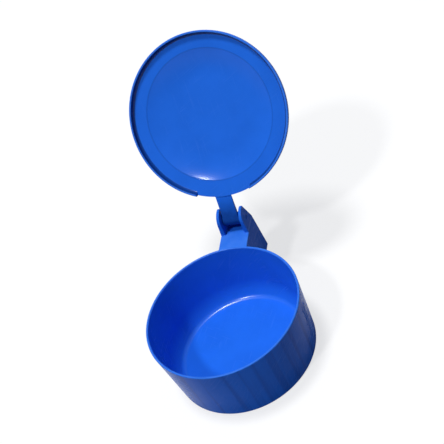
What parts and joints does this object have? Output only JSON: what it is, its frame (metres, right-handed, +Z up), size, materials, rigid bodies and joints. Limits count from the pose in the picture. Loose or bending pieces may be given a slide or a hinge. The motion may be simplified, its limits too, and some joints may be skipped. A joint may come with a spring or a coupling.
{
  "type": "lidded cup",
  "caption": "Shallow round moulded cup with a dished lid that swings on a clevis hinge at the back of the rim and leans back on a stop when open.",
  "frame": {"origin": "centre of the cup's flat base", "axes": "+Z up along the cup's axis, +Y from the cup towards the hinge, +X along the hinge pin"},
  "size_m": [0.1058, 0.1862, 0.1527],
  "materials": {
    "cup_plastic": "glossy injection-moulded polypropylene, blue right through",
    "lid_plastic": "satin injection-moulded polypropylene, blue right through",
    "pin_plastic": "smooth moulded plastic rod"
  },
  "bodies": {
    "cup_body": {"cup": "cup_plastic", "hinge_pin": "pin_plastic"},
    "lid_body": {"lid": "lid_plastic"}
  },
  "joints": [
    {"name": "lid_hinge", "type": "hinge", "parent": "cup_body", "child": "lid_body", "pos_m": [0, 0.0683, 0.0502], "axis": [1, 0, 0], "range_deg": [0, 127]}
  ]
}
